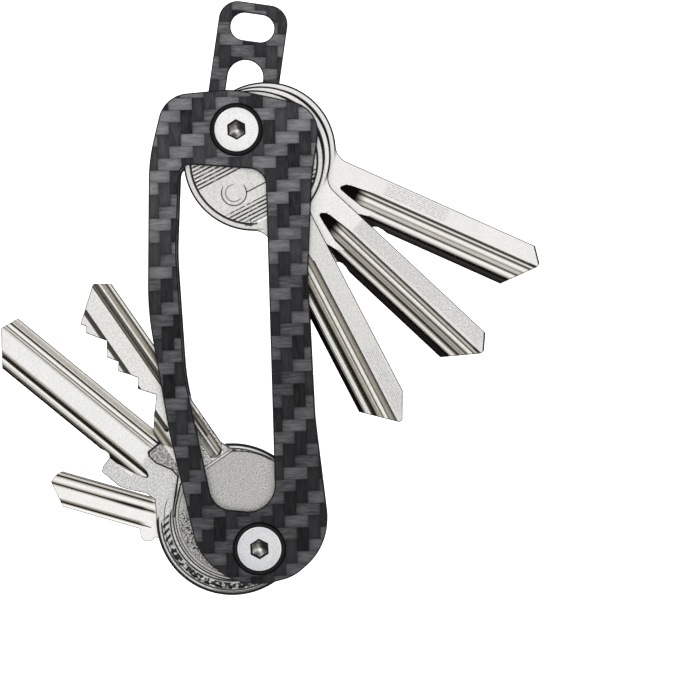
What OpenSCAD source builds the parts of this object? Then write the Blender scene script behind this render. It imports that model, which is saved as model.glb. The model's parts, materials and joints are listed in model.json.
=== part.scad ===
// Key organiser: two carbon plates, a screwed post at each end, and keys that fan out like blades.
// Upright, +Z along the line of posts, front face towards -Y, origin midway between the posts.

/* [Plates] */
// Thickness of each carbon plate
plate_t = 2.2; // [1.5:0.1:3]
// Distance between the post centres
post_span = 72; // [70:0.5:76]

/* [Posts and screws] */
// Diameter of the post barrels that the keys turn on
barrel_d = 5; // [4:0.1:5]
// Diameter of the flat screw heads
screw_d = 7.7; // [7:0.1:7.7]
// Outer diameter of the black collars round the screw heads
collar_d = 9; // [8.8:0.1:9.4]
// How far the collars stand out of the front plate
collar_proud = 0.5; // [0.2:0.05:0.8]
// Diameter of the domed heads at the back
dome_d = 8.7; // [8:0.1:9]
// How far the domed heads stand out of the back plate
dome_proud = 0.75; // [0.4:0.05:1]
// Width across the flats of the hex sockets
socket_af = 2.7; // [2.5:0.1:3.2]

/* [Keys] */
// Thickness of the full-size keys
key_t = 2.1; // [1.8:0.05:2.1]
// Thickness of the small key
small_key_t = 1.8; // [1.5:0.05:1.8]
// Blade width of the full-size keys
blade_w = 8.4; // [7.5:0.1:8.4]
// Reach of the long blank keys from post to tip
blank_reach = 57; // [50:0.5:57]
// Diameter of the hole in each key head
key_hole_d = 5.2; // [5.2:0.05:5.4]

/* [Fan of keys] */
// Opening of the upper front key from the line of posts
upper_front_open = 24.3; // [11:0.1:170]
// Opening of the upper middle key
upper_middle_open = 43.8; // [11:0.1:170]
// Opening of the upper back key
upper_back_open = 62.8; // [11:0.1:170]
// Opening of the lower front key
lower_front_open = 31.6; // [12:0.1:170]
// Opening of the lower middle key
lower_middle_open = 47.6; // [12:0.1:170]
// Opening of the lower back key
lower_back_open = 70.9; // [12:0.1:170]

/* [Loop strap] */
// Thickness of the loop strap
strap_t = 2; // [1.5:0.1:2]
// Width of the loop strap
strap_w = 12; // [11:0.1:13]
// Reach of the loop strap from post to end
strap_reach = 22.5; // [21:0.1:25]
// Lean of the loop strap from upright
strap_lean = 11.2; // [0:0.1:30]

/* [Washers] */
// Thickness of the thin washers between the keys
washer_t = 0.3; // [0.2:0.05:0.3]
// Diameter of the thin washers
washer_d = 9; // [8:0.1:10]
// Thickness of the steel spacer on the lower post
spacer_t = 1; // [0.5:0.1:1.5]
// Diameter of the steel spacer
spacer_d = 10; // [9:0.1:11]

/* [Hidden] */
$fn = 64;
eps = 0.05;                                  // running gap between stacked pieces
pitch = key_t + washer_t + 2 * eps;          // one key and one washer
gap = 2 * eps + 3 * pitch + strap_t + eps;   // clear space between the plates
inner = -gap / 2;                            // inside face of the front plate
front = inner - plate_t;                     // outside face of the front plate
back = gap / 2 + plate_t;                    // outside face of the back plate
post_z = post_span / 2;
half_blade = blade_w / 2;
sink = 0.9;                                  // depth of the counterbores
head_t = 1.2;                                // thickness of a screw head
collar_floor = 0.25;                         // thickness of a collar's floor

// Plate outline, measured from the upper post: x, z, corner radius
plate_corners = [
    [14.8, 2.9, 5.3], [-0.2, 7, 15.7], [-12.1, 6.5, 5.4], [-15.3, -4.4, 30], [-16.9, -30.2, 50],
    [-14.4, -51, 35], [-10.5, -72.9, 10.7], [-5.2, -77, 8], [-0.8, -78.4, 12], [5.6, -77.2, 8],
    [12.3, -71.8, 10.5], [10.8, -50.1, 40], [10.9, -25.4, 40], [12.5, -9, 30]];
// Window in both plates, in the same way
window_corners = [
    [4.6, -7.1, 3], [-10.1, -5.3, 2], [-11.5, -20.6, 46], [-11.2, -41.8, 42], [-7.5, -64.7, 3.8],
    [3.1, -66.2, 4.6]];

// Arc of radius r that rounds the corner b between its neighbours a and c
function unit(v) = v / norm(v);
function flat2(p) = [p[0], p[1]];
function corner(a, b, c, r) = let (
    p = unit(a - b), q = unit(c - b), half = acos(p * q) / 2,
    centre = b + unit(p + q) * r / sin(half),
    first = b + p * r / tan(half) - centre,
    side = sign((b - a)[0] * (c - b)[1] - (b - a)[1] * (c - b)[0]),
    start = atan2(first[1], first[0]), turn = 180 - 2 * half, n = max(2, ceil(turn / 6)))
    [for (i = [0:n]) centre + r * [cos(start + side * turn * i / n), sin(start + side * turn * i / n)]];
function rounded(c) = let (n = len(c))
    [for (i = [0:n - 1]) each corner(flat2(c[(i + n - 1) % n]), flat2(c[i]), flat2(c[(i + 1) % n]), c[i][2])];

// A drawing in X and Z made into a slab from depth y to y + t
module slab(y, t) translate([0, y + t, 0]) rotate([90, 0, 0]) linear_extrude(t) children();
// A round bar along Y
module bar(d, y, length, x = 0, z = 0) translate([x, y, z]) rotate([-90, 0, 0]) cylinder(d = d, h = length);
// A box by its low corner and size
module block(low, size) translate(low) cube(size);

// ---- plates ----
module plate(y) {
    difference() {
        translate([0, 0, post_z]) slab(y, plate_t) polygon(rounded(plate_corners));
        translate([0, 0, post_z]) slab(y - 1, plate_t + 2) polygon(rounded(window_corners));
        for (z = [-post_z, post_z]) bar(barrel_d + 0.1, y - 1, plate_t + 2, z = z);
    }
}

module front_plate() color("#2b2b2e") difference() {
    plate(front);
    for (z = [-post_z, post_z]) bar(collar_d + 0.1, front - 1, 1 + sink, z = z);
}

module back_plate() color("#2b2b2e") difference() {
    plate(back - plate_t);
    for (z = [-post_z, post_z]) bar(dome_d + 0.1, back - sink, 1 + sink, z = z);
}

// ---- hardware ----
// Post: domed head in the back plate, barrel through the stack, blind bore for the screw
module post(z) color("#c9cacc") translate([0, 0, z]) difference() {
    union() {
        bar(barrel_d, front + sink + eps, back - sink - (front + sink + eps));
        translate([0, back - sink, 0]) rotate([-90, 0, 0]) rotate_extrude()
            polygon([[0, 0], [dome_d / 2, 0], [dome_d / 2, sink + 0.15],
                for (a = [15:15:75]) [dome_d / 2 * cos(a), sink + 0.15 + (dome_proud - 0.15) * sin(a)],
                [0, sink + dome_proud]]);
    }
    bar(4, front + sink, back - 1.5 - front - sink);
}
module top_post() post(post_z);
module bottom_post() post(-post_z);

// Screw: flat head with a hex socket and a cone at its bottom, thin shank into the post
module screw(z) color("#d6d7d9") translate([0, front + sink - collar_floor - head_t, z]) difference() {
    union() {
        rotate([-90, 0, 0]) rotate_extrude()
            polygon([[0, 0], [screw_d / 2 - 0.25, 0], [screw_d / 2, 0.25], [screw_d / 2, head_t],
                [0, head_t]]);
        bar(3.9, 0, 8);
    }
    rotate([-90, 0, 0]) rotate([0, 0, 30]) translate([0, 0, -1])
        cylinder(d = socket_af / cos(30), h = 2.6, $fn = 6);
    rotate([-90, 0, 0]) translate([0, 0, 1.55]) cylinder(d1 = socket_af - 0.1, d2 = 0, h = 0.9);
}
module top_screw() screw(post_z);
module bottom_screw() screw(-post_z);

// Black cup collar that seats the screw head in the front plate
module collar(z) color("#111113") translate([0, front - collar_proud, z]) rotate([-90, 0, 0]) rotate_extrude()
    polygon([[2.1, sink + collar_proud], [2.1, sink + collar_proud - collar_floor],
        [screw_d / 2 + 0.05, sink + collar_proud - collar_floor], [screw_d / 2 + 0.05, 0],
        [collar_d / 2 - 0.4, 0], [collar_d / 2 - 0.12, 0.12], [collar_d / 2, 0.4],
        [collar_d / 2, sink + collar_proud]]);
module top_screw_collar() collar(post_z);
module bottom_screw_collar() collar(-post_z);

// Washer number i lies behind key number i, counted from the front
module washer(i, z, d, t, y) color("#8d8f92") difference() {
    bar(d, y, t, z = z);
    bar(barrel_d + 0.2, y - 1, t + 2, z = z);
}
module thin_washer(i, z) washer(i, z, washer_d, washer_t, inner + 2 * eps + i * pitch - washer_t - eps);
module top_front_washer() thin_washer(1, post_z);
module top_middle_washer() thin_washer(2, post_z);
module top_back_washer() thin_washer(3, post_z);
module bottom_front_washer() thin_washer(1, -post_z);
module bottom_middle_washer() thin_washer(2, -post_z);
module spacer_washer()
    washer(3, -post_z, spacer_d, spacer_t, inner + 2 * eps + 2 * pitch + small_key_t + eps);

// ---- keys: drawn with the hole at the origin, the blade along +X and the upper edge towards +Z ----
// Places a key in layer 0, 1 or 2 on a post, turned to its opening angle
module on_post(z, turn, layer)
    translate([0, inner + 2 * eps + layer * pitch, z]) rotate([0, -turn, 0]) children();

// Concave corner where a long blade's edge, at height edge, meets its head
neck_r = 3.2;
function neck(head_w, edge) = let (
    w = edge + neck_r, x = 6 + sqrt(pow(12.1 + neck_r, 2) - pow(w - head_w, 2)),
    a = atan2(w - head_w, x - 6))
    concat([[6 + 11 * cos(a + 8), head_w + 11 * sin(a + 8)]],
        [for (i = [1:5]) let (t = 180 + a + (90 - a) * i / 5) [x + neck_r * cos(t), w + neck_r * sin(t)]]);

// Long blank: round head with raised rim, notch below the blade, milled grooves on both faces.
// mid is the height of the blade's middle, mill that of its grooves;
// tip_cut is the length of the slant at the tip's upper side
module blank(head_w, mid, mill, tip_cut, reach) difference() {
    low = mid - half_blade;
    under = neck(-head_w, -low);
    union() {
        bar(24.2, 0, key_t, 6, head_w);
        slab(0, key_t) polygon([
            each neck(head_w, mid + half_blade), [reach - tip_cut, mid + half_blade],
            [reach, mid + 1.8], [reach, mid + 1.1], [reach - 4.7, low], [30.8, low], [29.8, low + 0.25],
            [28.9, low + 0.3], [28.3, low + 0.1], [27.9, low - 0.35], [22, low - 0.1],
            for (i = [len(under) - 1:-1:0]) [under[i][0], -under[i][1]]]);
    }
    bar(key_hole_d, -1, key_t + 2);
    // rim round the head, both faces
    for (y = [-1, key_t - 0.2]) intersection() {
        bar(21.4, y, 1.2, 6, head_w);
        block([-4.7, y, head_w - 10.7], [20.2, 1.2, 21.4]);
        difference() { bar(30, y - 1, 4, 6, head_w); bar(9.4, y - 2, 6); }
    }
    // wide groove with a rounded start, edge step, and back groove
    bar(3, -1, 1.75, 21.8, mill - 0.4);
    block([21.8, -1, mill - 1.9], [40, 1.75, 3]);
    block([25, -1, mill - 7], [40, 1.9, 4.15]);
    block([24, key_t - 0.7, mill + 1.4], [40, 2, 1.6]);
}
module upper_key(layer, open, head_w, mid, mill, tip_cut, reach) color("#c9c7c2")
    on_post(post_z, open - 90, layer) blank(head_w, mid, mill, tip_cut, reach);
module upper_key_front() upper_key(0, upper_front_open, 0.2, 0.52, 0.21, 4.5, blank_reach + 0.4);
module upper_key_middle() upper_key(1, upper_middle_open, -0.47, -0.41, -0.41, 1.9, blank_reach);
module upper_key_back() upper_key(2, upper_back_open, -1.24, -1.31, -1.31, 1.9, blank_reach);

// Cut key: flat shoulder across the neck, broad groove near the back edge, bitting on the other
module lower_key_front() color("#c9c7c2") on_post(-post_z, 90 + lower_front_open, 0) difference() {
    union() {
        bar(22.6, 0, key_t, 6.8, -0.2);
        slab(0, key_t) polygon([
            [13.8, -8.7], [16.2, -6.1], [17.9, -5.3], [18.9, -4.95], [51.9, -4.95], [53.6, -2.6],
            [53.6, -2.2], [49.2, 3.4], [48.3, 2.8], [47.4, 3.45], [45.7, 2.3], [44.3, 1.3], [43.3, 2],
            [42, 2.9], [40.2, 1.7], [38.9, 2.65], [37.3, 1.4], [36, 0.5], [34.5, 1.65], [31.8, -0.4],
            [30.7, 0.5], [29.3, 1.8], [27.1, 3.45], [26.5, 3.75], [24.8, 3.9], [24.6, 6.4], [23.9, 6.7],
            [22.2, 6.4], [19.7, 4.8], [18.2, 4.6],
            [16.2, 6.5], [13.6, 8.9]]);
    }
    bar(key_hole_d, -1, key_t + 2);
    block([17.2, -1, -4.35], [40, 1.75, 2.4]);
    bar(2.4, -1, 1.75, 17.2, -3.15);
    block([24, -1, 1.15], [40, 1.6, 0.75]);
    block([24, key_t - 0.7, -1.2], [40, 2, 1.4]);
}

// Middle key: large round head, stepped stop below the neck, uncut blade
module lower_key_middle() color("#c9c7c2") on_post(-post_z, 90 + lower_middle_open, 1) difference() {
    union() {
        bar(26.2, 0, key_t, 6.8, -0.8);
        slab(0, key_t) polygon([
            [14, -10], [17.5, -6.6], [24.6, -half_blade], [57.3, -half_blade], [58.5, -1.1],
            [54, half_blade], [32, half_blade], [31.3, 4], [30.4, 4], [29.9, 4.4], [29.8, 6.2],
            [29.4, 7.1], [25.5, 7.15], [24.2, 6.7], [21.1, 5.15], [19.3, 5], [17.3, 7], [14, 9.4]]);
    }
    bar(key_hole_d, -1, key_t + 2);
    for (y = [-1, key_t - 0.2]) difference() {
        bar(23, y, 1.2, 6.8, -0.8);
        bar(9.4, y - 1, 4);
        block([14.6, y - 1, -12], [8, 4, 24]);
    }
    bar(1.8, -1, 1.75, 23.4, 2.9);
    block([23.4, -1, 2], [40, 1.75, 1.8]);
    block([26, -1, -2.6], [40, 1.6, 1.2]);
    block([24, key_t - 0.7, -0.6], [40, 2, 1.6]);
}

// Small key: narrow blade with a bump as its stop
module lower_key_back() color("#c9c7c2") on_post(-post_z, 90 + lower_back_open, 2) difference() {
    union() {
        bar(19, 0, small_key_t, 5, -0.4);
        slab(0, small_key_t) polygon([
            [10, -7], [15, -3.6], [19.4, -3.2], [36.5, -3.2], [37.3, -2.4], [37.9, -0.95], [34.7, 2.65],
            [20.9, 2.65], [20.3, 4], [19.4, 4.5], [18.4, 4.2], [17.8, 3.3], [16, 3.4], [12, 5], [10, 7]]);
    }
    bar(key_hole_d, -1, small_key_t + 2);
    block([20, -1, -1.7], [40, 1.6, 1.1]);
    block([20, small_key_t - 0.5, 0.1], [40, 2, 1]);
}

// ---- loop strap: slot for a split ring near the end, arched window between slot and post ----
strap_corners = [
    [strap_reach, strap_w / 2, 3.3], [-7.2, strap_w / 2, 5], [-7.2, -strap_w / 2, 5],
    [strap_reach, -strap_w / 2, 3.3]];
module ring_loop() color("#2b2b2e") translate([0, inner + 2 * eps + 3 * pitch, post_z])
    rotate([0, strap_lean - 90, 0]) difference() {
        slab(0, strap_t) polygon(rounded(strap_corners));
        bar(key_hole_d, -1, strap_t + 2);
        for (z = [-1.4, 1.4]) bar(4.8, -1, strap_t + 2, 18.3, z);
        block([15.9, -1, -1.4], [4.8, strap_t + 2, 2.8]);
        bar(6.2, -1, strap_t + 2, 9.5, 0);
        block([6.4, -1, -3.1], [3.1, strap_t + 2, 6.2]);
        for (z = [-1.1, 1.1]) bar(4, -1, strap_t + 2, 6.4, z);
        block([4.4, -1, -1.1], [2.1, strap_t + 2, 2.2]);
    }

front_plate();
back_plate();
top_post();
bottom_post();
top_screw();
bottom_screw();
top_screw_collar();
bottom_screw_collar();
ring_loop();
upper_key_front();
upper_key_middle();
upper_key_back();
lower_key_front();
lower_key_middle();
lower_key_back();
top_front_washer();
top_middle_washer();
top_back_washer();
bottom_front_washer();
bottom_middle_washer();
spacer_washer();
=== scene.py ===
import bpy
import json
from math import acos, atan2, copysign, cos, degrees, dist, hypot, pi, radians, sin, sqrt, tan
import numpy as np
from mathutils import Matrix, Vector
from mathutils.geometry import delaunay_2d_cdt


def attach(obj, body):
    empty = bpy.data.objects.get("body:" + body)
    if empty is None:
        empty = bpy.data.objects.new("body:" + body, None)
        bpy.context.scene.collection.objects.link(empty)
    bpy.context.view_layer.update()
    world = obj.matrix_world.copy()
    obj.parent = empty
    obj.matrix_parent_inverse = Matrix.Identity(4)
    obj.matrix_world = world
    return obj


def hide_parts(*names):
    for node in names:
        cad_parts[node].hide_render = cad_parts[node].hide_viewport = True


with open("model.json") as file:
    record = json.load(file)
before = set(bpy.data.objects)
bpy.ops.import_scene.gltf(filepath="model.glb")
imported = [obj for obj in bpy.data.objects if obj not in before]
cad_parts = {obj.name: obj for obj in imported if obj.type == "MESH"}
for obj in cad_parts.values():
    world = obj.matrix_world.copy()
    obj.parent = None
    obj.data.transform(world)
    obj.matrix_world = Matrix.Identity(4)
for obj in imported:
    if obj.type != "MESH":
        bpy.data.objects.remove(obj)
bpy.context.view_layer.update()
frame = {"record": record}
MM = 0.001

# ---- sizes in millimetres, the same as part.scad ----
POST = 36.0
PITCH = 2.5
KEY_T, SMALL_T, STRAP_T, PLATE_T = 2.1, 1.8, 2.0, 2.2
INNER = -4.825
FRONT, BACK = INNER - PLATE_T, PLATE_T - INNER
STACK = INNER + 0.1              # front of the first key
SOCKET = 1.35                    # half the width across the flats of a hex socket
CORNER = SOCKET / cos(pi / 6)
HEAD_R, COLLAR_R, BORE_R = 3.85, 4.5, 2.55
HOLE_R = 2.6                     # hole of a key, the strap or a washer
HALF = 4.2                       # half the width of a long key's blade
STRAP_LEAN = 11.2                # degrees from upright
LOWER_OPEN = (31.6, 47.6, 70.9)  # degrees that the lower keys are turned out by, from the front one back
NICKEL = (0.87, 0.86, 0.835)


# ---- outlines ----
def arc(cx, cy, r, a0, a1, step):
    n = max(2, int(abs(a1 - a0) / step) + 1)
    return [(cx + r * cos(radians(a0 + (a1 - a0) * i / n)),
             cy + r * sin(radians(a0 + (a1 - a0) * i / n))) for i in range(n + 1)]


def rounded(corners, step=2.5):
    out, n = [], len(corners)
    for i in range(n):
        a, b, c = (np.array(corners[(i + k) % n][:2], float) for k in (-1, 0, 1))
        r = corners[i][2]
        if r <= 0:
            out.append(tuple(b))
            continue
        p, q = (a - b) / np.linalg.norm(a - b), (c - b) / np.linalg.norm(c - b)
        half = acos(max(-1, min(1, float(p @ q)))) / 2
        mid = (p + q) / np.linalg.norm(p + q)
        cen = b + mid * r / sin(half)
        first = b + p * r / tan(half) - cen
        cross = (b - a)[0] * (c - b)[1] - (b - a)[1] * (c - b)[0]
        start, turn = degrees(atan2(first[1], first[0])), 180 - 2 * degrees(half)
        out += arc(cen[0], cen[1], r, start, start + copysign(turn, cross), step)
    return out


def area(loop):
    p = np.array(loop)
    q = np.roll(p, -1, 0)
    return float((p[:, 0] * q[:, 1] - q[:, 0] * p[:, 1]).sum() / 2)


def ccw(loop):
    return loop if area(loop) > 0 else loop[::-1]


def clean(loop, tol=0.004):
    out = []
    for p in loop:
        if not out or dist(p, out[-1]) > tol:
            out.append(p)
    if dist(out[0], out[-1]) <= tol:
        out.pop()
    return out


def offset(loop, d):
    """Moves a counter-clockwise loop inwards by d."""
    p = np.array(loop)
    e1, e2 = p - np.roll(p, 1, 0), np.roll(p, -1, 0) - p
    n1 = np.stack([-e1[:, 1], e1[:, 0]], 1) / np.linalg.norm(e1, axis=1)[:, None]
    n2 = np.stack([-e2[:, 1], e2[:, 0]], 1) / np.linalg.norm(e2, axis=1)[:, None]
    m = n1 + n2
    m /= np.maximum(np.linalg.norm(m, axis=1), 1e-9)[:, None]
    k = 1 / np.clip((m * n1).sum(1), 0.5, 1)
    return [tuple(v) for v in p + m * (d * k)[:, None]]


def inside(pts, loop):
    x, y = pts[:, 0], pts[:, 1]
    res = np.zeros(len(pts), bool)
    j = len(loop) - 1
    for i in range(len(loop)):
        (xi, yi), (xj, yj) = loop[i], loop[j]
        if yi != yj:
            res ^= ((yi > y) != (yj > y)) & (x < (xj - xi) * (y - yi) / (yj - yi) + xi)
        j = i
    return res


def distance(pts, loops):
    best = np.full(len(pts), 1e9)
    for loop in loops:
        a = np.array(loop)
        b = np.roll(a, -1, 0)
        for p, q in zip(a, b):
            d = q - p
            t = np.clip(((pts - p) @ d) / max(float(d @ d), 1e-12), 0, 1)
            best = np.minimum(best, np.hypot(*(pts - p - t[:, None] * d).T))
    return best


# ---- building ----
bodies = {node: body for body, nodes in frame["record"]["behaviour"]["bodies"].items() for node in nodes}


def link(name, data):
    ob = bpy.data.objects.new(name, data)
    bpy.context.scene.collection.objects.link(ob)
    return ob


def make(node, verts, faces, material, place, smooth=16.0, name=None):
    """A mesh given in millimetres, placed, riding on its node's body and standing for its node."""
    name = (name or node) + "_detail"
    me = bpy.data.meshes.new(name)
    me.from_pydata([tuple(place @ (Vector(v) * MM)) for v in verts], [], faces)
    me.validate()
    me.shade_smooth()
    me.set_sharp_from_angle(angle=radians(smooth))
    me.materials.append(material)
    ob = link(name, me)
    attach(ob, bodies[node])
    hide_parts(node)
    return ob


def relief(outer, holes, lines, top, bottom, thick, edge):
    """A flat piece cut to an outline, with a depth below each face at every point, and chamfered edges.
    Returns vertices (u, y, w) and faces; y is 0 on the front face and thick on the back."""
    outer = clean(ccw(outer))
    holes = [clean(ccw(h)) for h in holes]
    loops = [outer] + holes
    rims = [offset(outer, edge)] + [offset(h, -edge) for h in holes]
    co, ed = [], []

    def add(points, closed):
        k = len(co)
        co.extend(Vector(p) for p in points)
        ed.extend((k + i, k + i + 1) for i in range(len(points) - 1))
        if closed:
            ed.append((k + len(points) - 1, k))

    for lp in loops + rims:
        add(lp, True)
    for ln in lines:
        add(ln, False)
    vs, _, fs, *_ = delaunay_2d_cdt(co, ed, [], 0, 1e-5)
    p = np.array([(v.x, v.y) for v in vs])
    f = np.array([t for t in fs if len(t) == 3])
    cen = p[f].mean(1)
    keep = inside(cen, outer)
    for h in holes:
        keep &= ~inside(cen, h)
    f = f[keep]
    a, b, c = p[f[:, 0]], p[f[:, 1]], p[f[:, 2]]
    two = (b - a)[:, 0] * (c - a)[:, 1] - (b - a)[:, 1] * (c - a)[:, 0]
    f = f[np.abs(two) > 1e-9]
    two = two[np.abs(two) > 1e-9]
    f[two < 0] = f[two < 0][:, ::-1]
    used = np.unique(f)
    remap = np.full(len(p), -1)
    remap[used] = np.arange(len(used))
    p, f = p[used], remap[f]
    cham = edge * np.clip(1 - distance(p, loops) / edge, 0, 1)
    y0 = top(p[:, 0], p[:, 1]) + cham
    y1 = thick - bottom(p[:, 0], p[:, 1]) - cham
    y1 = np.maximum(y1, y0 + 0.25)
    n = len(p)
    verts = [(u, y, w) for (u, w), y in zip(p, y0)] + [(u, y, w) for (u, w), y in zip(p, y1)]
    faces = [tuple(int(i) for i in t) for t in f] + [tuple(int(i) + n for i in t[::-1]) for t in f]
    count = {}
    for t in f:
        for i in range(3):
            e = (int(t[i]), int(t[(i + 1) % 3]))
            count[e] = count.get(e, 0) + 1
    for (i, j) in count:
        if (j, i) not in count:
            faces.append((j, i, i + n, j + n))
    return verts, faces


def flat(u, w):
    return np.zeros(len(u))


def lathe(profile, seg=96):
    """Turns (radius, y) points about the Y axis. A radius of 0 closes an end to a point, and a third value makes
    the ring a hexagon with a corner straight down."""
    verts, rings = [], []
    for r, y, *hexagon in profile:
        count = seg if r > 1e-6 else 1
        rings.append(range(len(verts), len(verts) + count))
        for i in range(count):
            a = 2 * pi * i / seg
            side = (a - pi / 2) % (pi / 3) - pi / 6
            q = r * cos(pi / 6) / cos(side) if hexagon else r
            verts.append((q * cos(a), y, q * sin(a)))
    faces = []
    for a, b in zip(rings, rings[1:]):
        for i in range(seg):
            j = (i + 1) % seg
            q = list(dict.fromkeys([a[i % len(a)], a[j % len(a)], b[j % len(b)], b[i % len(b)]]))
            if len(q) > 2:
                faces.append(tuple(q))
    return verts, faces


# ---- materials ----
class Nodes:
    """Shorthand for the node tree of a material or a world."""

    def __init__(self, owner):
        owner.use_nodes = True
        self.t = owner.node_tree
        self.t.nodes.clear()

    def new(self, kind):
        return self.t.nodes.new(kind)

    def put(self, socket, value):
        if isinstance(value, bpy.types.NodeSocket):
            self.t.links.new(value, socket)
        else:
            socket.default_value = value

    def follow(self, value, points):
        """A number that runs through points, pairs of (value, number), and stays level beyond them."""
        first, last = points[0][0], points[-1][0]
        low, high = min(q for _, q in points), max(q for _, q in points)
        span = max(high - low, 1e-6)
        part = self.fma(value, 1 / (last - first), -first / (last - first), clamp=True)
        stops = [((p - first) / (last - first), ((q - low) / span,) * 3) for p, q in points]
        return self.fma(self.ramp(part, stops), span, low)

    def math(self, op, a, b=0.0, c=None, clamp=False):
        n = self.new("ShaderNodeMath")
        n.operation = op
        n.use_clamp = clamp
        self.put(n.inputs[0], a)
        self.put(n.inputs[1], b)
        if c is not None:
            self.put(n.inputs[2], c)
        return n.outputs[0]

    def add(self, a, b, clamp=False):
        return self.math("ADD", a, b, clamp=clamp)

    def sub(self, a, b):
        return self.math("SUBTRACT", a, b)

    def mul(self, a, b, clamp=False):
        return self.math("MULTIPLY", a, b, clamp=clamp)

    def fma(self, a, b, c, clamp=False):
        """a times b, plus c."""
        return self.math("MULTIPLY_ADD", a, b, c, clamp)

    def max(self, a, b):
        return self.math("MAXIMUM", a, b)

    def abs(self, a):
        return self.math("ABSOLUTE", a)

    def sin(self, a):
        return self.math("SINE", a)

    def coords(self, place=Matrix.Identity(4)):
        """Coordinates in millimetres in the frame that place puts in the world."""
        inv = place.inverted()
        tc = self.new("ShaderNodeTexCoord")
        mp = self.new("ShaderNodeMapping")
        mp.inputs["Scale"].default_value = (1 / MM,) * 3
        mp.inputs["Rotation"].default_value = inv.to_euler()
        mp.inputs["Location"].default_value = inv.translation / MM
        self.t.links.new(tc.outputs["Object"], mp.inputs[0])
        sp = self.new("ShaderNodeSeparateXYZ")
        self.t.links.new(mp.outputs[0], sp.inputs[0])
        return mp.outputs[0], sp.outputs

    def vec(self, x, y, z):
        n = self.new("ShaderNodeCombineXYZ")
        for s, v in zip(n.inputs, (x, y, z)):
            self.put(s, v)
        return n.outputs[0]

    def noise(self, vector, scale, detail, rough):
        n = self.new("ShaderNodeTexNoise")
        self.put(n.inputs["Vector"], vector)
        n.inputs["Scale"].default_value = scale
        n.inputs["Detail"].default_value = detail
        n.inputs["Roughness"].default_value = rough
        return n.outputs[0]

    def ramp(self, fac, stops):
        n = self.new("ShaderNodeValToRGB")
        el = n.color_ramp.elements
        while len(el) < len(stops):
            el.new(0.5)
        for e, (pos, col) in zip(el, stops):
            e.position = pos
            e.color = (*col, 1)
        self.put(n.inputs[0], fac)
        return n.outputs[0]

    def mix(self, fac, a, b):
        n = self.new("ShaderNodeMix")
        n.data_type = "RGBA"
        self.put(n.inputs[0], fac)
        self.put(n.inputs[6], a if isinstance(a, bpy.types.NodeSocket) else (*a, 1))
        self.put(n.inputs[7], b if isinstance(b, bpy.types.NodeSocket) else (*b, 1))
        return n.outputs[2]

    def blend(self, fac, a, b):
        """a where fac is 0, b where it is 1, for numbers."""
        n = self.new("ShaderNodeMix")
        n.data_type = "FLOAT"
        self.put(n.inputs[0], fac)
        self.put(n.inputs[2], a)
        self.put(n.inputs[3], b)
        return n.outputs[0]

    def smooth(self, value, low, high):
        """Rises smoothly from 0 at low to 1 at high; falls if low is above high."""
        n = self.new("ShaderNodeMapRange")
        n.interpolation_type = "SMOOTHSTEP"
        self.put(n.inputs["Value"], value)
        n.inputs["From Min"].default_value = min(low, high)
        n.inputs["From Max"].default_value = max(low, high)
        n.inputs["To Min"].default_value = 0.0 if low < high else 1.0
        n.inputs["To Max"].default_value = 1.0 if low < high else 0.0
        return n.outputs[0]

    def facing(self, place=Matrix.Identity(4)):
        """The face's own direction in the frame that place puts in the world, as (x, y, z)."""
        geo = self.new("ShaderNodeNewGeometry")
        tn = self.new("ShaderNodeVectorTransform")
        tn.vector_type, tn.convert_from, tn.convert_to = "NORMAL", "WORLD", "OBJECT"
        self.t.links.new(geo.outputs["True Normal"], tn.inputs[0])
        mp = self.new("ShaderNodeMapping")
        mp.vector_type = "NORMAL"
        mp.inputs["Rotation"].default_value = place.inverted().to_euler()
        self.t.links.new(tn.outputs[0], mp.inputs[0])
        sp = self.new("ShaderNodeSeparateXYZ")
        self.t.links.new(mp.outputs[0], sp.inputs[0])
        return sp.outputs

    def scale(self, vector, by):
        n = self.new("ShaderNodeVectorMath")
        n.operation = "SCALE"
        self.put(n.inputs[0], vector)
        self.put(n.inputs["Scale"], by)
        return n.outputs[0]

    def bump(self, height, strength, distance, below=None):
        n = self.new("ShaderNodeBump")
        n.inputs["Strength"].default_value = strength
        n.inputs["Distance"].default_value = distance
        self.put(n.inputs["Height"], height)
        if below is not None:
            self.put(n.inputs["Normal"], below)
        return n.outputs[0]


class Paint(Nodes):
    """A material with one principled shader."""

    def __init__(self, name):
        self.mat = bpy.data.materials.new(name)
        super().__init__(self.mat)
        self.bsdf = self.new("ShaderNodeBsdfPrincipled")
        self.put(self.new("ShaderNodeOutputMaterial").inputs[0], self.bsdf.outputs[0])

    def grained(self, v, stretched, color, dark):
        """Streaks, a broad and a fine noise, and color varied by them down to dark times it."""
        streaks = self.noise(stretched, 1.0, 3.0, 0.65)
        broad, fine = self.noise(v, 0.18, 2.0, 0.5), self.noise(v, 4.0, 2.0, 0.6)
        tone = self.add(self.mul(streaks, 0.5), self.mul(self.add(broad, fine), 0.25))
        return streaks, broad, fine, self.mix(self.smooth(tone, 0.35, 0.65), tuple(c * dark for c in color), color)

    def finish(self, color, rough, metal, normal=None):
        self.put(self.bsdf.inputs["Base Color"], color if isinstance(color, bpy.types.NodeSocket) else (*color, 1))
        self.put(self.bsdf.inputs["Roughness"], rough)
        self.put(self.bsdf.inputs["Metallic"], metal)
        if normal is not None:
            self.put(self.bsdf.inputs["Normal"], normal)
        return self.mat


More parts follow.
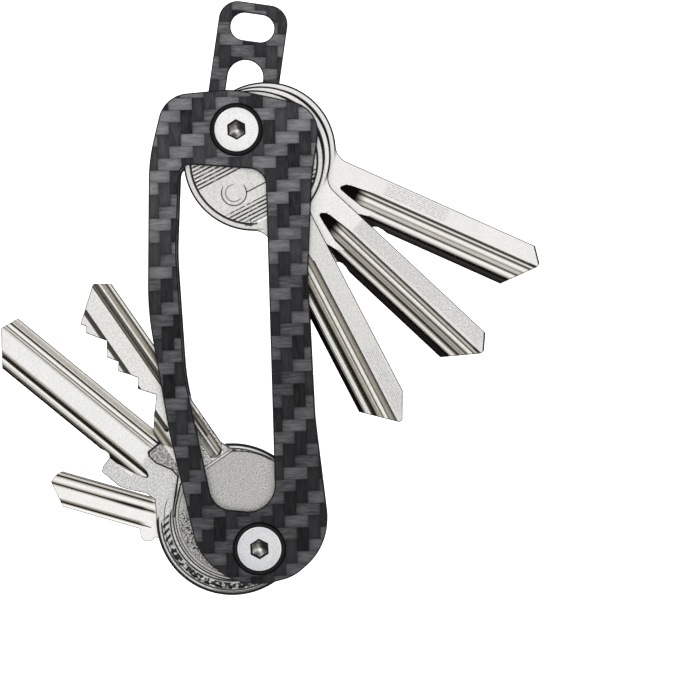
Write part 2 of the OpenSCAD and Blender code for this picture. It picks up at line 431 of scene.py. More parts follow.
def carbon(name, place, wide, tall, upright=False):
    """Two by two twill: tows that pass over two and under two, one step further along on each row.
    wide and tall are the width of an upright tow and of a level one in mm; the light tows are the level ones,
    or the upright ones if asked."""
    m = Paint(name)
    v, (x, y, z) = m.coords(place)
    x, y, z = (m.math("DIVIDE", value, size) for value, size in zip((x, y, z), (wide, 2.04, tall)))
    if upright:
        x, z = m.add(z, 1.0), x
    i, j = m.math("FLOOR", x), m.math("FLOOR", z)
    fx, fz = m.math("FRACT", x), m.math("FRACT", z)
    s = m.sub(i, j)
    k = m.math("FLOORED_MODULO", s, 4.0)
    over = m.math("LESS_THAN", k, 1.5)                       # 1 where the level tow is on top
    # place along the two-cell float, 0 to 1, of the tow on top
    along_h = m.mul(m.add(fx, k), 0.5)
    kv = m.sub(3.0, k)
    along_v = m.mul(m.add(fz, kv), 0.5)
    along = m.blend(over, along_v, along_h)
    across = m.blend(over, fx, fz)
    hump = m.sin(m.mul(along, pi))
    crown = m.sin(m.mul(across, pi))
    height = m.mul(m.math("POWER", m.max(hump, 0.0), 0.35), m.math("POWER", m.max(crown, 0.0), 0.3))
    # fine fibres along each tow
    fib_h = m.noise(m.vec(m.mul(x, 0.9), y, m.mul(z, 5.5)), 1.0, 3.0, 0.65)
    fib_v = m.noise(m.vec(m.mul(x, 5.5), y, m.mul(z, 0.9)), 1.0, 3.0, 0.65)
    fibre = m.blend(over, fib_v, fib_h)
    white = m.new("ShaderNodeTexWhiteNoise")
    white.noise_dimensions = "2D"
    # one tone for each float: its own cell number, the same in both of its cells
    cell_a = m.blend(over, i, m.sub(i, k))
    cell_b = m.blend(over, m.sub(j, kv), j)
    m.put(white.inputs["Vector"], m.vec(m.add(cell_a, m.mul(over, 57.0)), cell_b, 0.0))
    tone = white.outputs["Value"]
    sharp = m.smooth(fibre, 0.32, 0.68)
    light = m.mix(m.add(m.mul(sharp, 0.5), m.mul(tone, 0.5), clamp=True), (0.06, 0.06, 0.066), (0.26, 0.257, 0.272))
    dark = m.mix(m.add(m.mul(sharp, 0.35), m.mul(tone, 0.65), clamp=True),
                 (0.006, 0.006, 0.007), (0.072, 0.072, 0.078))
    weave = m.mix(over, dark, light)
    # painted shade: each tow is darkened towards its edges, in the creases where it dives under its neighbours,
    # together with the dark seams between tows
    seam_shade = m.math("POWER", height, 0.5, clamp=True)
    weave = m.mix(seam_shade, (0.006, 0.006, 0.007), weave)
    # cut edges show the plies
    face = m.math("GREATER_THAN", m.abs(m.facing()[1]), 0.8)
    ply = m.noise(m.vec(m.mul(x, 0.8), m.mul(y, 14.0), m.mul(z, 0.8)), 1.0, 2.0, 0.5)
    edge = m.mix(ply, (0.004, 0.004, 0.0045), (0.03, 0.03, 0.033))
    # the upper end catches more light
    lift = m.follow(m.coords()[1][2], [(-46, 0.5), (5, 0.65), (27, 1.15), (45, 1.2)])
    color = m.mix(face, edge, m.scale(weave, lift))
    tow_rough = m.blend(over, m.fma(fibre, 0.1, 0.42), m.fma(fibre, 0.1, 0.36))
    rough = m.blend(face, 0.55, tow_rough)
    normal = m.bump(m.mul(m.add(height, m.mul(fibre, 0.25)), face), 0.35, 0.00012)
    m.bsdf.inputs["Specular IOR Level"].default_value = 0.08
    return m.finish(color, rough, 0.0, normal)


def steel(name, color, rough, grain, blast=0.0):
    """Steel with a fine turned grain, and blasted if asked."""
    m = Paint(name)
    v, (x, y, z) = m.coords()
    lines, broad, _, col = m.grained(v, m.vec(m.mul(x, 9.0), m.mul(y, 2.0), m.mul(z, 0.35)), color, 0.84)
    normal = m.bump(lines, grain, 0.00004)
    if blast:
        normal = m.bump(m.noise(v, 5.5, 2.0, 0.7), blast, 0.00005, normal)
    return m.finish(col, m.fma(broad, 0.12, rough - 0.06), 1.0, normal)


class Metal(Paint):
    """Metal in a piece's own frame, in mm: for a key x runs along the blade, y into it, z towards its upper edge.
    Chamfers are painted dark by edge, a painted reflection of dark surroundings."""

    def __init__(self, name, place, color, grain=(0.35, 9.0), relief=0.12, blast=0.0, edge=0.12, mottle=0.06):
        super().__init__(name)
        self.v, (self.x, self.y, self.z) = self.coords(place)
        stretch = self.vec(self.mul(self.x, grain[0]), self.y, self.mul(self.z, grain[1]))
        self.streaks, self.broad, self.fine, self.col = self.grained(self.v, stretch, color, 0.86)
        grain_tone = self.smooth(self.noise(self.v, 2.6, 3.0, 0.75), 0.3, 0.7)
        self.specks = self.fma(grain_tone, 2 * mottle, 1 - mottle)
        self.normal = self.bump(self.streaks, relief, 0.00004)
        if blast:
            self.normal = self.bump(self.noise(self.v, 5.5, 2.0, 0.7), blast, 0.00005, self.normal)
        level = self.abs(self.facing(place)[1])
        self.tilted = self.smooth(level, 0.93, 0.75)
        chamfer = self.both(self.tilted, self.smooth(level, 0.12, 0.3))
        # painted reflection: chamfers darkened as if they mirrored dark surroundings
        self.paint(self.mul(chamfer, 1 - edge), (0.01, 0.009, 0.008))
        self.side = self.both(self.tilted, self.smooth(level, 0.3, 0.12))

    def radius(self, cx, cz):
        a, b = self.sub(self.x, cx), self.sub(self.z, cz)
        return self.math("SQRT", self.add(self.mul(a, a), self.mul(b, b)))

    def both(self, *masks):
        out = masks[0]
        for m in masks[1:]:
            out = self.mul(out, m)
        return out

    def span(self, value, low, high, soft=0.08):
        """1 from low to high."""
        return self.both(self.smooth(value, low - soft, low + soft), self.smooth(value, high + soft, high - soft))

    def box(self, x0, x1, z0, z1, soft=0.08):
        return self.both(self.span(self.x, x0, x1, soft), self.span(self.z, z0, z1, soft))

    def line(self, value, at, half, soft=0.07):
        off = self.abs(self.sub(value, at))
        return self.smooth(off, half + soft, half)

    def paint(self, mask, color):
        self.col = self.mix(mask, self.col, color)

    def shade(self, mask, factor):
        """Darkens by a factor where the mask is 1."""
        self.paint(self.mul(mask, 1 - factor), tuple(c * 0.02 for c in NICKEL))

    def tinted(self, tone, warm):
        mid = tuple(c * 0.42 * w for c, w in zip(NICKEL, warm))
        return self.ramp(tone, [(0, (0.004, 0.0035, 0.003)), (0.42, mid), (1, NICKEL)])

    def band(self, tones, starts, soft, warm=(1.0, 0.93, 0.82), end=None, dark_to=None):
        """Painted reflection and shade: tones across the blade, given as (z, tone); starts gives the x where they
        begin at each z, and dark_to darkens them to black before its first x, as painted shade where a groove runs
        out.
        """
        tone = self.follow(self.z, tones)
        tone = self.mul(tone, self.fma(self.streaks, 0.3, 0.85), clamp=True)
        if dark_to:
            tone = self.mul(tone, self.smooth(self.x, *dark_to))
        begun = self.smooth(self.sub(self.x, self.follow(self.z, starts)), -soft, soft)
        mask = self.both(begun, self.span(self.z, tones[0][0], tones[-1][0], 0.02))
        if end:
            mask = self.both(mask, self.smooth(self.x, end + 0.6, end - 0.6))
        self.paint(mask, self.tinted(tone, warm))

    def dots(self, mask, scale, low, high, strength):
        """Dark speckle inside the mask."""
        spots = self.smooth(self.noise(self.v, scale, 2.0, 0.6), high, low)
        self.shade(self.both(mask, spots), 1 - strength)

    def strokes(self, points, half, factor):
        """Dark line through points (x, z)."""
        near = None
        for (x0, z0), (x1, z1) in zip(points, points[1:]):
            dx, dz = x1 - x0, z1 - z0
            size = hypot(dx, dz)
            ax, az = self.sub(self.x, x0), self.sub(self.z, z0)
            along = self.fma(ax, dx / size, self.mul(az, dz / size))
            off = self.abs(self.fma(ax, -dz / size, self.mul(az, dx / size)))
            beyond = self.max(self.sub(along, size), self.mul(along, -1.0))
            away = self.max(off, beyond)
            near = away if near is None else self.math("MINIMUM", near, away)
        self.shade(self.smooth(near, half + 0.06, half), factor)

    def worms(self, mask, scale, width):
        """Thin dark wandering lines inside the mask."""
        off = self.abs(self.sub(self.noise(self.v, scale, 1.0, 0.5), 0.5))
        self.shade(self.both(mask, self.smooth(off, width * 1.6, width * 0.6)), 0.06)

    def done(self, rough):
        self.col = self.scale(self.col, self.specks)
        bare = self.both(self.side, self.span(self.y, 0.3, 1.6, 0.1))
        self.paint(bare, self.tinted(self.fma(self.fine, 1.2, 0.3, clamp=True), (1.0, 0.98, 0.94)))
        metallic = self.fma(bare, -0.7, 1.0)
        return self.finish(self.col, self.fma(self.broad, 0.12, rough - 0.06), metallic, self.normal)


def screw_face(end, place, color):
    """Bead-blasted head with a painted bright highlight on its rim, and a hex socket painted with light and shade on
    its facets, a painted highlight at its bottom and a painted dark line at its edge.
    """
    m = Metal(end + "_screw_metal", place, color, (3.0, 3.0), 0.05, 0.3, 0.9)
    r = m.radius(0, 0)
    # painted highlight on the rounded rim
    m.paint(m.smooth(r, 3.55, 3.7), (0.95, 0.95, 0.96))
    half, tall = m.mul(m.x, 0.5), m.mul(m.z, cos(pi / 6))
    flats = m.abs(m.x)
    for side in ("ADD", "SUBTRACT"):
        flats = m.max(flats, m.abs(m.math(side, half, tall)))
    inner = m.smooth(flats, SOCKET, SOCKET - 0.1)
    # painted light and shade on the socket's facets, set by the angle round the centre
    turn = m.math("ARCTAN2", m.z, m.x)
    facet = m.follow(turn, [(-3.15, 0.35), (-2.7, 0.75), (-2.3, 0.3), (-1.7, 0.4), (-1.3, 0.75), (-1.0, 0.4),
                            (-0.5, 0.25), (-0.1, 0.1), (0.3, 0.05), (1.0, 0.08), (1.5, 0.25), (2.0, 0.5),
                            (2.3, 0.3), (3.15, 0.35)])
    m.paint(inner, m.tinted(facet, (1.0, 0.97, 0.93)))
    # painted highlight at the bottom of the socket
    spot = m.radius(0.05, -0.25)
    m.paint(m.smooth(spot, 0.55, 0.1), (0.9, 0.89, 0.87))
    # painted shade along the socket's edge
    m.shade(m.line(flats, SOCKET + 0.02, 0.14, 0.08), 0.03)
    return m.done(0.38)


def black_metal(name):
    m = Paint(name)
    v, _ = m.coords()
    n = m.noise(v, 1.4, 3.0, 0.6)
    col = m.mix(n, (0.002, 0.002, 0.0022), (0.008, 0.008, 0.009))
    m.bsdf.inputs["Specular IOR Level"].default_value = 0.15
    return m.finish(col, m.fma(n, 0.1, 0.22), 0.0, m.bump(n, 0.1, 0.00003))


def shifted(x, y, z):
    """A shift in millimetres."""
    return Matrix.Translation((x * MM, y * MM, z * MM))


def turned(angle):
    """A turn about the Y axis, counter-clockwise seen from the front."""
    return Matrix.Rotation(-radians(angle), 4, "Y")


def placed(z, angle, layer):
    """Where a key or the strap on a post lies."""
    return shifted(0, STACK + layer * PITCH, z) @ turned(angle)


STRAP_AT = placed(POST, 90 - STRAP_LEAN, 3)
plate_weave = shifted(0, 0, POST) @ turned(-1.74) @ shifted(2.6, 0, 1.5)
carbon_plate = carbon("carbon_plate", plate_weave, 2.027, 2.057)
strap_weave = STRAP_AT @ turned(7) @ shifted(7.0, 0, 1.4)
carbon_strap = carbon("carbon_strap", strap_weave, 2.011, 2.019, upright=True)


washer_metal = steel("washer_metal", (0.62, 0.63, 0.65), 0.3, 0.2)
collar_black = black_metal("collar_black")
post_metal = steel("post_metal", (0.93, 0.935, 0.94), 0.36, 0.05, blast=0.25)

# ---- plates ----
PLATE = [[14.8, 2.9, 5.3], [-0.2, 7, 15.7], [-12.1, 6.5, 5.4], [-15.3, -4.4, 30], [-16.9, -30.2, 50],
         [-14.4, -51, 35], [-10.5, -72.9, 10.7], [-5.2, -77, 8], [-0.8, -78.4, 12], [5.6, -77.2, 8],
         [12.3, -71.8, 10.5], [10.8, -50.1, 40], [10.9, -25.4, 40], [12.5, -9, 30]]
WINDOW = [[4.6, -7.1, 3], [-10.1, -5.3, 2], [-11.5, -20.6, 46], [-11.2, -41.8, 42], [-7.5, -64.7, 3.8],
          [3.1, -66.2, 4.6]]


def shift(loop, dz):
    return [(x, z + dz) for x, z in loop]


def plate(name, y, outward, seat_r):
    """outward is -1 if the counterbores are on the front."""
    outer = shift(rounded(PLATE), POST)
    window = shift(rounded(WINDOW), POST)
    bores = [arc(0, z, BORE_R, 0, 356, 4) for z in (-POST, POST)]
    seats = [arc(0, z, r, 0, 360, 4) for z in (-POST, POST) for r in (seat_r, seat_r + 0.03)]

    def sunk(u, w):
        d = np.minimum(np.hypot(u, w - POST), np.hypot(u, w + POST))
        return np.where(d < seat_r + 0.015, 0.9, 0.0)

    top, bottom = (sunk, flat) if outward < 0 else (flat, sunk)
    v, f = relief(outer, [window] + bores, seats, top, bottom, PLATE_T, 0.22)
    make(name, v, f, carbon_plate, shifted(0, y, 0))


plate("front_plate", FRONT, -1, 4.55)
plate("back_plate", BACK - PLATE_T, 1, 4.4)

# ---- posts, screws, collars and washers ----
# the top screw face is painted lighter and the bottom one darker and bluer: painted light and shade on two copies of
# one screw
for z, end, face in ((POST, "top", (0.92, 0.92, 0.915)), (-POST, "bottom", (0.72, 0.725, 0.74))):
    at = shifted(0, 0, z)
    dome = [(4.35 * cos(a), BACK + 0.15 + 0.6 * sin(a)) for a in np.linspace(0, pi / 2, 14)]
    v, f = lathe([(0, BACK - 1.5), (2.0, BACK - 1.5), (2.0, FRONT + 0.95), (2.4, FRONT + 0.95), (2.5, FRONT + 1.05),
                  (2.5, BACK - 0.9), (4.35, BACK - 0.9)] + dome[:-1] + [(0, BACK + 0.75)])
    make(end + "_post", v, f, post_metal, at)

    y = FRONT + 0.9 - 0.25 - 1.2
    v, f = lathe([(0, y + 8), (1.95, y + 8), (1.95, y + 1.2), (HEAD_R, y + 1.2), (HEAD_R, y + 0.22),
                  (HEAD_R - 0.03, y + 0.12), (HEAD_R - 0.1, y + 0.04), (HEAD_R - 0.2, y), (2.0, y),
                  (CORNER + 0.12, y, "hex"), (CORNER, y + 0.12, "hex"), (CORNER, y + 1.6, "hex"), (1.2, y + 1.62),
                  (0, y + 2.3)])
    make(end + "_screw", v, f, screw_face(end, at, face), at, 22)

    y0 = FRONT - 0.5
    bulge = [(COLLAR_R - 0.3 + 0.3 * cos(a), y0 + 0.42 - 0.42 * sin(a)) for a in np.linspace(0, pi / 2, 9)]
    v, f = lathe([(2.1, FRONT + 0.9), (COLLAR_R, FRONT + 0.9)] + bulge + [
        (3.97, y0), (3.92, y0 + 0.05), (3.9, y0 + 0.12), (3.9, FRONT + 0.65), (2.1, FRONT + 0.65),
        (2.1, FRONT + 0.9)])
    make(end + "_screw_collar", v, f, collar_black, at, name=end + "_collar")


def washer(node, z, r, y, t):
    b = min(0.08, t / 4)
    v, f = lathe([(HOLE_R, y + b), (HOLE_R + b, y), (r - b, y), (r, y + b), (r, y + t - b), (r - b, y + t),
                  (HOLE_R + b, y + t), (HOLE_R, y + t - b), (HOLE_R, y + b)])
    make(node, v, f, washer_metal, shifted(0, 0, z))


for end, z, names in (("top", POST, ("front", "middle", "back")), ("bottom", -POST, ("front", "middle"))):
    for layer, name in enumerate(names, 1):
        washer(f"{end}_{name}_washer", z, 4.5, STACK + layer * PITCH - 0.35, 0.3)
washer("spacer_washer", -POST, 5.0, STACK + 2 * PITCH + SMALL_T + 0.05, 1.0)


# ---- keys, drawn with the hole at the origin, the blade along +u and the upper edge at +w ----
def profile(points):
    ws, ds = [p[0] for p in points], [p[1] for p in points]
    return lambda w: np.interp(w, ws, ds, left=ds[0], right=ds[-1])


def runs(points, u0, u1):
    """A level line for each point of a profile."""
    return [[(u0, w), (u1, w)] for w, _ in points]


def start_lines(start, ws, soft):
    """Where a groove begins at the heights ws, and where it has its full depth."""
    return [[(float(start(w)) + k, w) for w in ws] for k in (0.0, soft)]


def hatch(u0, u1, pitch, cx, cw, r):
    """Level lines inside a circle, as pairs of constraint lines, and their centres."""
    out, centres = [], []
    u = u0
    while u < u1:
        h = sqrt(max(0.0, r * r - (u - cx) ** 2))
        if h > 0.6:
            for d in (-0.14, -0.04, 0.04, 0.14):
                out.append([(u + d, cw - h), (u + d, cw + h)])
            centres.append(u)
        u += pitch
    return out, centres


# The milled face of a long blank: heights are measured from the middle of its grooves
MAIN_STARTS = [(-2.1, 26.0), (-1.6, 24.0), (-1.1, 22.0), (-0.6, 20.4), (-0.3, 20.2), (0.0, 20.3), (0.6, 21.0),
               (0.8, 22.0), (1.15, 26.0)]
LOW_STARTS = [(-4.4, 28.6), (-3.8, 26.0), (-3.4, 24.3), (-3.1, 25.3), (-2.85, 26.6), (-1.95, 27.6)]
MAIN_DEPTH = [(-1.95, 0.0), (-1.88, 0.55), (1.06, 0.55), (1.14, 0.0)]
LOW_DEPTH = [(-4.4, 1.1), (-4.03, 0.95), (-2.92, 0.5), (-2.84, 0.0)]
# Painted reflection and shade: how bright each strip of the grooves is painted, from the lower edge up, on each of
# the three blanks
TONES = {
    "front": ([(-4.1, 0.02), (-3.7, 0.01), (-3.2, 0.003), (-3.1, 0.5), (-3.0, 0.65), (-2.8, 0.95), (-2.62, 0.6),
               (-2.4, 1.0), (-2.25, 0.5), (-2.16, 0.25)],
              [(-2.16, 0.3), (-2.06, 0.04), (-1.9, 0.02), (-1.7, 0.003), (-1.55, 0.01), (-1.4, 0.07), (-1.25, 0.36),
               (-1.0, 0.34), (-0.85, 0.58), (-0.75, 0.5), (-0.64, 0.07), (-0.55, 0.1), (-0.42, 0.7), (-0.2, 0.88),
               (0.0, 0.88), (0.12, 0.3), (0.2, 0.03), (0.27, 0.18), (0.4, 0.38), (0.65, 0.34), (0.85, 0.26),
               (1.02, 0.12), (1.18, 0.03), (1.3, 0.04)]),
    "middle": ([(-4.4, 0.015), (-4.0, 0.01), (-3.8, 0.023), (-3.4, 0.024), (-3.1, 0.005), (-2.96, 0.004),
                (-2.86, 0.3), (-2.6, 0.68), (-2.4, 0.9), (-2.2, 0.52), (-2.0, 0.2), (-1.95, 0.1)],
               [(-1.95, 0.1), (-1.82, 0.003), (-1.73, 0.003), (-1.64, 0.1), (-1.55, 0.2), (-1.4, 0.48), (-1.2, 0.22),
                (-1.0, 0.52), (-0.84, 0.18), (-0.7, 0.07), (-0.58, 0.1), (-0.42, 0.6), (-0.2, 0.86), (0.03, 0.92),
                (0.12, 0.4), (0.2, 0.06), (0.3, 0.12), (0.41, 0.42), (0.6, 0.62), (0.72, 0.35), (0.85, 0.07),
                (0.98, 0.03), (1.06, 0.08), (1.14, 0.4)]),
    "back": ([(-4.4, 0.012), (-4.1, 0.01), (-3.9, 0.036), (-3.5, 0.09), (-3.3, 0.03), (-3.12, 0.003), (-3.0, 0.003),
              (-2.88, 0.05), (-2.75, 0.4), (-2.5, 0.78), (-2.3, 0.93), (-2.1, 1.0), (-1.9, 0.7), (-1.8, 0.2)],
             [(-1.8, 0.1), (-1.7, 0.005), (-1.63, 0.1), (-1.5, 0.5), (-1.3, 0.62), (-1.1, 0.6), (-0.92, 0.26),
              (-0.75, 0.6), (-0.6, 0.86), (-0.3, 1.0), (-0.1, 0.65), (0.06, 0.1), (0.16, 0.07), (0.27, 0.1),
              (0.4, 0.62), (0.5, 0.95), (0.62, 0.5), (0.75, 0.13), (0.88, 0.008), (0.98, 0.02), (1.08, 0.4)]),
}


def moved(points, by):
    return [(p + by, q) for p, q in points]


def blank_metal(name, place, hw, mid, mill, cut, tip, color, patch, painted_dark_tip, warm):
    m = Metal("nickel_upper_" + name, place, color, edge=0.05 if name != "back" else 0.5,
              mottle={"front": 0.14, "middle": 0.1, "back": 0.05}[name])
    if name == "middle":
        m.shade(m.smooth(m.x, 26.1, 26.5), 0.88)
    low, main = TONES[name]
    # head: black outline painted as the dark reflection and shadow of the rounded edge, thin line inside the rim,
    # broken hatching at both sides of the field
    r = m.radius(6.0, hw)
    head = m.smooth(m.x, 17.6, 16.4)
    m.shade(m.both(m.smooth(r, 11.72, 11.85), head), 0.005)
    m.shade(m.both(m.line(r, 11.0, 0.1), m.smooth(m.x, 16.2, 15.6)), 0.04)
    field = m.both(m.smooth(r, 10.95, 10.8), m.smooth(m.radius(0, 0), 4.8, 5.0))
    wave = m.math("COSINE", m.mul(m.add(m.x, 3.9), 2 * pi / 0.62))
    broken = m.smooth(m.noise(m.vec(m.mul(m.x, 1.6), 0.0, m.z), 1.6, 2.0, 0.5), 0.4, 0.46)
    sides = m.max(m.smooth(m.x, 6.4, 6.2), m.span(m.x, 12.0, 14.4, 0.1))
    m.shade(m.both(field, sides, m.smooth(wave, 0.2, 0.7), broken), 0.1)
    ring = m.radius(9.4, hw - 5.6)
    open_side = m.max(m.smooth(m.x, 8.6, 9.4), m.smooth(m.z, -6.2, -7.0))
    m.shade(m.both(m.line(ring, 2.15, 0.07), open_side), 0.08)
    m.shade(m.both(m.line(ring, 1.45, 0.05), m.smooth(m.z, -4.4, -5.2)), 0.2)
    m.strokes([(14.75, hw - 1.0), (14.75, hw - 5.2), (15.8, hw - 5.5), (15.2, hw - 6.4)], 0.06, 0.1)
    m.strokes([(10.25, hw + 4), (10.25, hw - 3.6)], 0.08, 0.06)
    # blade: painted reflection and shade tones across the grooves, darkened where the main groove runs out
    m.band(moved(low, mill), moved(LOW_STARTS, mill), 0.12, warm)
    m.band(moved(main, mill), moved(MAIN_STARTS, mill), 0.12, warm, dark_to=(23.2, 25.4))
    start, end, strength = patch
    stripes = m.smooth(m.sin(m.mul(m.z, 2 * pi / 0.33)), -0.2, 0.5)
    spots = m.smooth(m.noise(m.v, 3.0, 2.0, 0.6), 0.35, 0.6)
    zone = m.both(m.span(m.x, start, end, 0.6), m.span(m.z, mill + 1.6, mill + 3.9, 0.1))
    m.shade(m.both(zone, stripes, spots), 1 - strength)
    if painted_dark_tip:
        # painted reflection: a dark line along the slanted cut of the tip, and a darker patch just behind the tip
        dx, dz = cut, HALF - 1.8
        size = hypot(dx, dz)
        off = m.add(m.mul(m.sub(m.x, tip), dz / size), m.mul(m.sub(m.z, mid + 1.8), dx / size))
        m.shade(m.both(m.smooth(off, -0.36, -0.22), m.smooth(m.z, mid + 1.0, mid + 1.3), m.smooth(m.x, 54, 55)), 0.01)
        m.shade(m.box(tip - 1.7, tip - 0.1, mill + 0.75, mill + 1.15, 0.1), 0.05)
    return m.done(0.3)


def blank_key(name, place, hw, mid, mill, cut, tip, material):
    cx, cr, f = 6.0, 12.1, 3.2
    up, low = mid + HALF, mid - HALF

    def fillet(rise):
        x = cx + sqrt((cr + f) ** 2 - rise ** 2)
        return x, degrees(atan2(rise, x - cx))

    fu, a_up = fillet(up + f - hw)
    fl, a_low = fillet(hw - low + f)
    outer = [(22, low - 0.1), (27.9, low - 0.35), (28.3, low + 0.1), (28.9, low + 0.3), (29.8, low + 0.25),
             (30.8, low), (tip - 4.7, low), (tip, mid + 1.1), (tip, mid + 1.8), (tip - cut, up)]
    outer += arc(fu, up + f, f, 270, 180 + a_up, 6)
    outer += arc(cx, hw, cr, a_up, 360 - a_low, 3)[1:]
    outer += arc(fl, low - f, f, 180 - a_low, 90, 6)[1:]
    hole = arc(0, 0, HOLE_R, 0, 355, 5)
    main, step = profile(moved(MAIN_DEPTH, mill)), profile(moved(LOW_DEPTH, mill))
    back = moved([(1.0, 0), (1.1, 0.6), (2.6, 0.6), (2.7, 0)], mill)
    start = lambda w: np.interp(w - mill, *zip(*MAIN_STARTS))
    low_start = lambda w: np.interp(w - mill, *zip(*LOW_STARTS))
    ring_in, ring_out = cr - 1.35, cr - 1.2
    bars, centres = hatch(-3.9, 17.0, 0.62, cx, hw, ring_in - 0.25)
    centres = np.array(centres)

    def pattern(u, w):
        """Sunk field with a rim, hatched at both ends and plain across the middle."""
        r = np.hypot(u - cx, w - hw)
        field = np.clip((ring_out - r) / 0.15, 0, 1)
        neck = (u > 14.6 - 0.01) & (w > mid - 4.8) | (u > 17.2)
        near = np.abs(u[:, None] - centres[None, :]).min(1)
        zone = ((u < 6.2) | (u > 12.3)) & (r < ring_in - 0.2)
        post = np.hypot(u, w) > 4.9
        line = np.clip((0.14 - near) / 0.1, 0, 1) * zone * post
        return np.where(neck, 0.0, 0.14 * field + 0.12 * line)

    def top(u, w):
        run = 0.5 + 0.5 * np.sin(np.clip((u - 20.4) / 5.0, 0, 1) * pi / 2)
        g = main(w) * np.clip((u - start(w)) / 0.22, 0, 1) * run
        bs = step(w) * np.clip((u - low_start(w)) / 0.5, 0, 1)
        return np.maximum.reduce([g, bs, np.where(u < 19, pattern(u, w), 0)])

    def bottom(u, w):
        return np.maximum(profile(back)(w) * np.clip((u - 22) / 6, 0, 1), np.where(u < 19, 0.5 * pattern(u, w), 0))

    lines = runs(moved(MAIN_DEPTH, mill), 20.0, 58) + runs(moved(LOW_DEPTH, mill), 24.0, 58) + runs(back, 21.5, 58)
    lines += start_lines(start, np.linspace(-1.95, 1.14, 30) + mill, 0.22)
    lines += start_lines(low_start, np.linspace(-4.4, -2.84, 12) + mill, 0.5)
    lines += [[(u, mill - 4.1), (u, mill + 2.8)] for u in np.arange(21.0, 30.5, 0.75)]
    lines += [arc(cx, hw, r, 0, 360, 3) for r in (ring_in, ring_out)]
    lines += [arc(0, 0, 4.9, 0, 360, 8), arc(0, 0, 4.95, 0, 360, 8)]
    lines += [[(u, hw - 12), (u, hw + 12)] for u in (6.2, 12.3, 14.55, 14.6)]
    lines += [[(14.5, w), (20, w)] for w in (mid - 4.8, mid - 4.85)]
    lines += bars
    v, fc = relief(outer, [hole], lines, top, bottom, KEY_T, 0.14)
    make(name, v, fc, material, place)


OLIVE, TAN = (1.0, 0.95, 0.82), (1.0, 0.94, 0.85)
LAND = (0.7, 0.695, 0.675)
for nm, layer, op, hw, mid, mill, cut, tip, tint, patch, painted_dark_tip, warm in (
        ("front", 0, 24.3, 0.2, 0.52, 0.21, 4.5, 57.4, LAND, (44, 56, 0.35), False, OLIVE),
        ("middle", 1, 43.8, -0.47, -0.41, -0.41, 1.9, 57.0, (0.85, 0.84, 0.82), (26.3, 55.5, 0.45), True, TAN),
        ("back", 2, 62.8, -1.24, -1.31, -1.31, 1.9, 57.0, (0.84, 0.83, 0.81), (27.5, 39, 0.5), True, TAN)):
    at = placed(POST, op - 90, layer)
    mat = blank_metal(nm, at, hw, mid, mill, cut, tip, tint, patch, painted_dark_tip, warm)
    blank_key("upper_key_" + nm, at, hw, mid, mill, cut, tip, mat)


